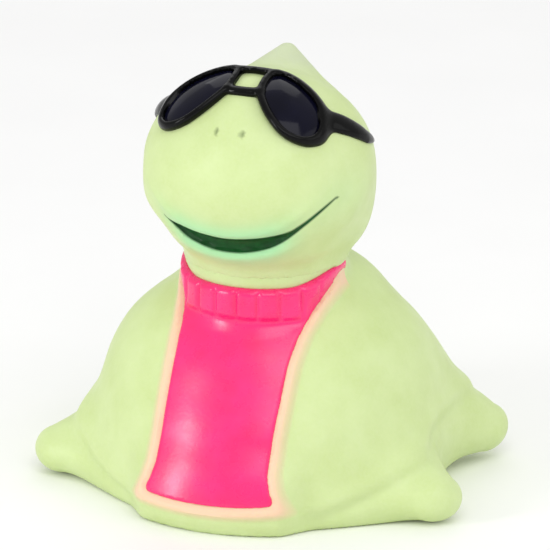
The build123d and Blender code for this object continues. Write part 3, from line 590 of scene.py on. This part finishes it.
def dial_print(below):
    """Ticks and numbers on the dial's underside; below is the face's height in mm."""
    verts, faces = [], []

    def bar(angle, inner, outer, half):
        turn = math.radians(angle)
        along = np.array([-math.sin(turn), math.cos(turn)])
        side = np.array([math.cos(turn), math.sin(turn)])
        corners = ((inner, -half), (outer, -half), (outer, half), (inner, half))
        flat = [along * out + side * over for out, over in corners]
        base = len(verts)
        verts.extend([(x, y, below - h) for h in (0, INK_T) for x, y in flat])
        faces.extend([tuple(base + i for i in f) for f in BAR_FACES])

    def word(text, angle, radius, size):
        curve = bpy.data.curves.new("number", "FONT")
        curve.body, curve.size, curve.extrude = text, size, INK_T / 2
        curve.align_x = curve.align_y = "CENTER"
        curve.resolution_u = 6
        thing = bpy.data.objects.new("number", curve)
        shape = bpy.data.meshes.new_from_object(thing)
        turn = math.radians(angle)
        x, y = -radius * math.sin(turn), radius * math.cos(turn)
        base = len(verts)
        verts.extend([(x - v.co.x, y + v.co.y, below - INK_T / 2 - v.co.z) for v in shape.vertices])
        faces.extend([tuple(base + i for i in f.vertices) for f in shape.polygons])
        bpy.data.objects.remove(thing)

    def angle_of(degree):
        return SCALE_SWEEP * (degree / SCALE_TOP - 0.5)

    for degree in range(0, SCALE_TOP + 1, SCALE_STEP):
        whole = degree % NUMBER_STEP == 0
        bar(angle_of(degree), TICK_OUT - (TICK_LONG if whole else TICK_SHORT), TICK_OUT,
            TICK_WIDE if whole else TICK_THIN)
    for degree in range(0, SCALE_TOP + 1, NUMBER_STEP):
        word(str(degree), angle_of(degree), NUMBER_R, NUMBER_SIZE)
    word(UNIT, 180.0, UNIT_R, UNIT_SIZE)
    mesh_piece("dial_scale", verts, faces, "float", "dial_print", sharp=30)
    bpy.data.objects["dial_scale"].data.polygons.foreach_set("use_smooth", [False] * len(faces))


painted_body()
painted_head()
painted_panel()
sunglasses()
dial_print(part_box("dial_plate")[0].z / MM)


# ---------------------------------------------------------------- materials
class Finish:
    """A Principled material and short calls that wire nodes into it. Sizes are in mm."""

    def __init__(self, name, **sockets):
        self.material = bpy.data.materials.new(name)
        self.material.use_nodes = True
        self.tree = self.material.node_tree
        self.shader = self.tree.nodes["Principled BSDF"]
        self.set(**sockets)
        self.at = self.node("ShaderNodeTexCoord").outputs["Object"]

    def set(self, **sockets):
        for key, value in sockets.items():
            self.wire(self.shader.inputs[key.replace("_", " ")], value)

    def wire(self, socket, value):
        if isinstance(value, bpy.types.NodeSocket):
            self.tree.links.new(value, socket)
        elif hasattr(value, "__len__") and len(value) == 3 and socket.type == "RGBA":
            socket.default_value = (*value, 1.0)
        else:
            socket.default_value = value

    def node(self, kind, inputs=None, **settings):
        made = self.tree.nodes.new(kind)
        for key, value in settings.items():
            setattr(made, key, value)
        for key, value in (inputs or {}).items():
            self.wire(made.inputs[key], value)
        return made

    def stretched(self, x, y, z):
        return self.node("ShaderNodeMapping", {"Vector": self.at, "Scale": (x, y, z)}).outputs["Vector"]

    def noise(self, size, detail=2.0, rough=0.5, at=None):
        inputs = {"Vector": at or self.at, "Scale": 1 / (size * MM), "Detail": detail, "Roughness": rough}
        return self.node("ShaderNodeTexNoise", inputs).outputs["Fac"]

    def cells(self, size):
        return self.node("ShaderNodeTexVoronoi", {"Vector": self.at, "Scale": 1 / (size * MM)}).outputs

    def rings(self, size, distort=0.0):
        inputs = {"Vector": self.at, "Scale": 1 / (size * MM) / 6.28, "Distortion": distort}
        return self.node("ShaderNodeTexWave", inputs, wave_type="RINGS", rings_direction="Z").outputs["Fac"]

    def remap(self, value, a, b, c, d):
        inputs = {"Value": value, "From Min": a, "From Max": b, "To Min": c, "To Max": d}
        return self.node("ShaderNodeMapRange", inputs).outputs[0]

    def ramp(self, value, *stops):
        made = self.node("ShaderNodeValToRGB", {"Fac": value})
        while len(made.color_ramp.elements) < len(stops):
            made.color_ramp.elements.new(0.5)
        for element, (place, colour) in zip(made.color_ramp.elements, stops):
            element.position, element.color = place, (*colour, 1.0)
        return made.outputs["Color"]

    def mottled(self, value, dark, light, top=0.7):
        """A colour that drifts between dark and light with value, a noise."""
        return self.ramp(value, (0.3, dark), (top, light))

    def blend(self, share, a, b, how="MIX"):
        made = self.node("ShaderNodeMix", data_type="RGBA", blend_type=how)
        for socket, value in ((made.inputs[0], share), (made.inputs[6], a), (made.inputs[7], b)):
            self.wire(socket, value)
        return made.outputs[2]

    def sum(self, a, b, how="ADD"):
        return self.node("ShaderNodeMath", {0: a, 1: b}, operation=how).outputs[0]

    def size_of(self, a):
        return self.node("ShaderNodeMath", {0: a}, operation="ABSOLUTE").outputs[0]

    def paint(self, name):
        return self.node("ShaderNodeAttribute", attribute_name=name).outputs["Fac"]

    def bump(self, height, depth):
        made = self.node("ShaderNodeBump", {"Height": height, "Distance": depth * MM, "Strength": 1.0})
        self.set(Normal=made.outputs["Normal"])

    def to(self, *names):
        for name in names:
            thing = bpy.data.objects.get(name) or nodes[name]
            thing.data.materials.clear()
            thing.data.materials.append(self.material)


def vinyl(name):
    """The pale green glow vinyl and its colour, to which each piece adds its own paint, painted shade and
    painted highlight.
    """
    f = Finish(name, Subsurface_Weight=0.12, Subsurface_Radius=(0.9, 1.0, 0.45), Subsurface_Scale=0.0012,
               IOR=1.35)
    fine = f.noise(0.55, 2.0)
    colour = f.mottled(f.noise(7.0, 3.0), (0.57, 0.69, 0.30), (0.63, 0.75, 0.37))
    colour = f.blend(f.remap(fine, 0.35, 0.7, 0.0, 0.12), colour, (0.72, 0.80, 0.50))
    f.set(Roughness=f.remap(f.noise(2.2, 3.0), 0.3, 0.7, 0.36, 0.5))
    f.bump(f.sum(fine, f.noise(1.9, 2.0)), 0.035)
    return f, colour


def figure_finishes():
    """Vinyl, paint and the sunglasses."""
    f, colour = vinyl("body vinyl")
    line = f.paint("line")
    # cream line round the panel: partly pink overspray, partly a painted highlight where the rolled rim
    # catches light
    cream = f.sum(f.remap(line, -0.3, 0.2, 0.0, 1.0), f.remap(line, 1.1, 2.5, 1.0, 0.0), "MULTIPLY")
    f.set(Base_Color=f.blend(f.sum(cream, 0.9, "MULTIPLY"), colour, (0.90, 0.60, 0.43)))
    f.to("turtle_body")

    f, colour = vinyl("head vinyl")
    colour = f.blend(f.sum(f.paint("mint"), 0.75, "MULTIPLY"), colour, (0.33, 0.74, 0.40))
    away = f.sum(f.size_of(f.paint("above")), f.paint("half"), "SUBTRACT")
    deep = f.mottled(f.noise(1.4, 3.0), (0.001, 0.045, 0.005), (0.003, 0.085, 0.012), top=0.75)
    colour = f.blend(f.remap(away, -0.14, 0.14, 1.0, 0.0), colour, deep)
    # painted shade: near-black olive in the nostril dimples
    colour = f.blend(f.remap(f.paint("nostril"), 0.02, 0.3, 0.0, 0.95), colour, (0.05, 0.09, 0.02))
    # painted shade: the crest's tip greyer and darker, as it stands at the back in shadow
    f.set(Base_Color=f.blend(f.sum(f.paint("crest"), 0.6, "MULTIPLY"), colour, (0.56, 0.60, 0.48)))
    f.to("turtle_head")

    f = Finish("pink paint", Coat_Weight=0.5, Coat_Roughness=0.24, IOR=1.42)
    colour = f.mottled(f.noise(5.0, 3.0), (0.90, 0.010, 0.15), (0.97, 0.018, 0.20))
    f.set(Base_Color=f.blend(f.sum(f.paint("low"), 0.4, "MULTIPLY"), colour, (0.80, 0.025, 0.13)),
          Roughness=f.remap(f.noise(1.6, 3.0), 0.3, 0.7, 0.24, 0.34))
    f.bump(f.sum(f.noise(0.6, 2.0), f.noise(2.6, 2.0)), 0.02)
    f.to("painted_chest")

    f = Finish("black gloss", IOR=1.24)
    f.set(Base_Color=f.mottled(f.noise(3.0, 3.0), (0.001, 0.001, 0.001), (0.003, 0.003, 0.003)),
          Roughness=f.remap(f.noise(1.2, 4.0), 0.3, 0.75, 0.10, 0.26))
    f.bump(f.noise(1.1, 2.0), 0.02)
    f.to("sunglasses")

    f = Finish("lens tint", IOR=1.25)
    f.set(Base_Color=f.mottled(f.noise(5.0, 2.0), (0.002, 0.002, 0.008), (0.004, 0.004, 0.014)),
          Roughness=f.remap(f.noise(1.5, 4.0), 0.4, 0.8, 0.07, 0.2))
    f.bump(f.noise(2.4, 1.0), 0.01)
    f.to("lens_left", "lens_right")


def cup_finishes():
    """The rigid cup, its rings, weight, screws and window."""
    f = Finish("white moulding", IOR=1.53, Subsurface_Weight=0.08, Subsurface_Scale=0.001)
    grain = f.noise(0.28, 3.0)
    f.set(Base_Color=f.mottled(f.noise(6.0, 3.0), (0.76, 0.77, 0.74), (0.84, 0.85, 0.82)),
          Roughness=f.remap(grain, 0.3, 0.7, 0.38, 0.55))
    f.bump(f.sum(grain, f.rings(1.1)), 0.02)
    f.to("base_cup", "bezel_ring", "dial_spacer")

    f = Finish("grey rubber", IOR=1.5, Sheen_Weight=0.2)
    dust = f.noise(0.5, 4.0)
    f.set(Base_Color=f.mottled(dust, (0.035, 0.037, 0.04), (0.085, 0.088, 0.09), top=0.75),
          Roughness=f.remap(dust, 0.3, 0.7, 0.65, 0.9))
    f.bump(f.sum(dust, f.noise(0.15)), 0.04)
    f.to("base_gasket", "lens_gasket")

    f = Finish("zinc plate", Metallic=1.0)
    spangle = f.cells(2.2)
    zinc = f.mottled(f.noise(1.5, 3.0), (0.44, 0.46, 0.50), (0.62, 0.64, 0.66))
    f.set(Base_Color=f.blend(0.18, zinc, spangle["Color"], "SOFT_LIGHT"),
          Roughness=f.remap(spangle["Distance"], 0.0, 0.8, 0.28, 0.46))
    f.bump(f.sum(f.noise(0.3, 3.0), spangle["Distance"]), 0.02)
    f.to("ballast_weight")

    f = Finish("turned steel", Metallic=1.0)
    swirl = f.rings(0.18, distort=0.4)
    f.set(Base_Color=f.mottled(f.noise(0.9, 3.0), (0.52, 0.53, 0.55), (0.68, 0.68, 0.69)),
          Roughness=f.remap(swirl, 0.0, 1.0, 0.2, 0.34))
    f.bump(f.sum(swirl, f.noise(0.2, 2.0)), 0.012)
    f.to("ballast_screws", "dial_screws", "coil_stud", "pointer_arbor")

    f = Finish("clear window", IOR=1.49, Transmission_Weight=1.0)
    haze = f.noise(3.0, 4.0, 0.7, f.stretched(1, 6, 1))
    f.set(Base_Color=f.mottled(haze, (0.93, 0.97, 0.97), (0.98, 1.0, 1.0)),
          Roughness=f.remap(haze, 0.55, 0.85, 0.015, 0.09))
    f.bump(haze, 0.004)
    f.to("dial_lens")


def movement_finishes():
    """The metal pieces of the dial's movement and its needle."""
    f = Finish("tin plate", Metallic=1.0)
    brushed = f.noise(0.9, 4.0, 0.6, f.stretched(0.12, 1, 1))
    f.set(Base_Color=f.mottled(brushed, (0.50, 0.50, 0.49), (0.70, 0.70, 0.68)),
          Roughness=f.remap(brushed, 0.3, 0.7, 0.24, 0.42))
    f.bump(brushed, 0.012)
    f.to("dial_case", "calibration_lever")

    f = Finish("brass", Metallic=1.0)
    tarnish = f.noise(1.3, 4.0)
    f.set(Base_Color=f.mottled(tarnish, (0.55, 0.34, 0.11), (0.80, 0.58, 0.24)),
          Roughness=f.remap(tarnish, 0.3, 0.7, 0.38, 0.22))
    f.bump(f.sum(tarnish, f.rings(0.2)), 0.012)
    f.to("movement_bridge", "front_bush", "rear_bush", "pointer_hub")

    f = Finish("bimetal strip", Metallic=1.0)
    heat = f.noise(1.8, 3.0)
    tints = (0.25, (0.50, 0.42, 0.34)), (0.55, (0.66, 0.57, 0.45)), (0.8, (0.52, 0.50, 0.50))
    f.set(Base_Color=f.ramp(heat, *tints),
          Roughness=f.remap(f.noise(0.6, 3.0, 0.5, f.stretched(1, 1, 0.2)), 0.3, 0.7, 0.22, 0.4))
    f.bump(f.noise(0.4, 2.0, 0.5, f.stretched(0.3, 0.3, 2)), 0.01)
    f.to("bimetal_coil")

    f = Finish("red enamel", Coat_Weight=0.4, Coat_Roughness=0.15)
    f.set(Base_Color=f.mottled(f.noise(1.2, 3.0), (0.55, 0.012, 0.010), (0.72, 0.022, 0.016)),
          Roughness=f.remap(f.noise(0.5, 3.0), 0.3, 0.7, 0.28, 0.4))
    f.bump(f.noise(0.35, 2.0), 0.01)
    f.to("pointer")


# inner and outer radius of the dial's colour band, and how soft its edges are
BAND_IN, BAND_OUT, BAND_SOFT = 0.01425, 0.01585, 0.00007
# (share of the scale, colour) from cold to hot
BAND_COLOURS = ((0.10, (0.02, 0.12, 0.55)), (0.36, (0.02, 0.40, 0.60)), (0.50, (0.06, 0.45, 0.10)),
                (0.64, (0.75, 0.42, 0.02)), (0.86, (0.62, 0.03, 0.02)))


def dial_finishes():
    """The dial plate with its colour band, and the ink of the scale."""
    f = Finish("dial enamel", Coat_Weight=0.3, Coat_Roughness=0.2)
    part = f.node("ShaderNodeSeparateXYZ", {"Vector": f.at}).outputs
    x_square, y_square = (f.sum(part[axis], part[axis], "MULTIPLY") for axis in "XY")
    radius = f.sum(f.sum(x_square, y_square), 0.5, "POWER")
    turn = f.sum(f.sum(0.0, part["X"], "SUBTRACT"), part["Y"], "ARCTAN2")
    turn = f.sum(turn, 1 / math.radians(SCALE_SWEEP), "MULTIPLY")
    hue = f.ramp(f.sum(turn, 0.5), *BAND_COLOURS)
    band = f.sum(f.remap(radius, BAND_IN, BAND_IN + BAND_SOFT, 0.0, 1.0),
                 f.remap(radius, BAND_OUT, BAND_OUT + BAND_SOFT, 1.0, 0.0), "MULTIPLY")
    swept = f.sum(f.size_of(turn), 0.5, "LESS_THAN")
    enamel = f.mottled(f.noise(4.0, 3.0), (0.82, 0.82, 0.78), (0.88, 0.88, 0.85))
    f.set(Base_Color=f.blend(f.sum(band, swept, "MULTIPLY"), enamel, hue),
          Roughness=f.remap(f.noise(0.8, 3.0), 0.3, 0.7, 0.25, 0.38))
    f.bump(f.noise(0.5, 2.0), 0.008)
    f.to("dial_plate")

    f = Finish("scale ink")
    f.set(Base_Color=f.mottled(f.noise(0.5, 3.0), (0.008, 0.008, 0.009), (0.02, 0.02, 0.022)),
          Roughness=f.remap(f.noise(0.4, 2.0), 0.3, 0.7, 0.45, 0.6))
    f.bump(f.noise(0.25), 0.01)
    f.to("dial_scale")


figure_finishes()
cup_finishes()
movement_finishes()
dial_finishes()


# ---------------------------------------------------------------- floor, light, camera
AZIMUTH, ELEVATION, AIM, REACH, FOCAL = 20.5, 19.0, Vector((0.0007, 0.0, 0.0345)), 1.0, 400.0
FLOOR_HALF, FLOOR_ROWS, FLOOR_BEND, FLOOR_RISE = 2.4, 24, 0.72, 0.9
WORLD_STRENGTH = 0.65
# name, azimuth, elevation, distance, width, height and watts of each softbox
SOFTBOXES = [("key", 28, 52, 0.75, 0.5, 0.5, 1.75), ("strip", -40, 15, 0.6, 0.09, 0.32, 1.05),
             ("fill", 85, 25, 0.8, 0.6, 0.6, 1.0), ("back", 200, 45, 0.8, 0.6, 0.5, 0.9)]


def floor():
    """Pale paper that lies flat in front and curves up behind."""
    points = []
    for i in range(FLOOR_ROWS + 1):
        t = i / FLOOR_ROWS
        y = -FLOOR_HALF + 2 * FLOOR_HALF * t
        z = FLOOR_RISE * max(0.0, (t - FLOOR_BEND) / (1 - FLOOR_BEND)) ** 2
        points += [(x, y, z) for x in (-FLOOR_HALF, 0, FLOOR_HALF)]
    quads = [(3 * i + j, 3 * i + j + 1, 3 * i + j + 4, 3 * i + j + 3)
             for i in range(FLOOR_ROWS) for j in range(2)]
    mesh = bpy.data.meshes.new("floor")
    mesh.from_pydata(points, [], quads)
    mesh.polygons.foreach_set("use_smooth", [True] * len(mesh.polygons))
    thing = bpy.data.objects.new("floor", mesh)
    bpy.context.scene.collection.objects.link(thing)
    f = Finish("floor paper")
    f.set(Base_Color=f.mottled(f.noise(30, 3.0), (0.95, 0.95, 0.945), (0.965, 0.965, 0.96)), Roughness=0.8)
    thing.data.materials.append(f.material)


def place(thing, azimuth, elevation, distance):
    """Put thing out at that angle and distance, looking at the middle of the figure."""
    a, e = math.radians(azimuth), math.radians(elevation)
    back = Vector((math.sin(a) * math.cos(e), -math.cos(a) * math.cos(e), math.sin(e)))
    thing.location = AIM + back * distance
    thing.rotation_euler = back.to_track_quat("Z", "Y").to_euler()
    bpy.context.scene.collection.objects.link(thing)


def softbox(name, azimuth, elevation, distance, wide, tall, power):
    light = bpy.data.lights.new(name, "AREA")
    light.shape, light.size, light.size_y, light.energy = "RECTANGLE", wide, tall, power
    place(bpy.data.objects.new(name, light), azimuth, elevation, distance)


def studio():
    """Four softboxes in a white room."""
    for settings in SOFTBOXES:
        softbox(*settings)
    world = bpy.data.worlds.new("studio")
    world.use_nodes = True
    world.node_tree.nodes["Background"].inputs["Color"].default_value = (1, 1, 1, 1)
    world.node_tree.nodes["Background"].inputs["Strength"].default_value = WORLD_STRENGTH
    bpy.context.scene.world = world
    bpy.context.scene.view_settings.view_transform = "Standard"


def camera():
    lens = bpy.data.cameras.new("camera")
    lens.lens, lens.clip_start, lens.clip_end = FOCAL, 0.01, 20
    thing = bpy.data.objects.new("camera", lens)
    place(thing, AZIMUTH, ELEVATION, REACH)
    bpy.context.scene.camera = thing


floor()
studio()
camera()
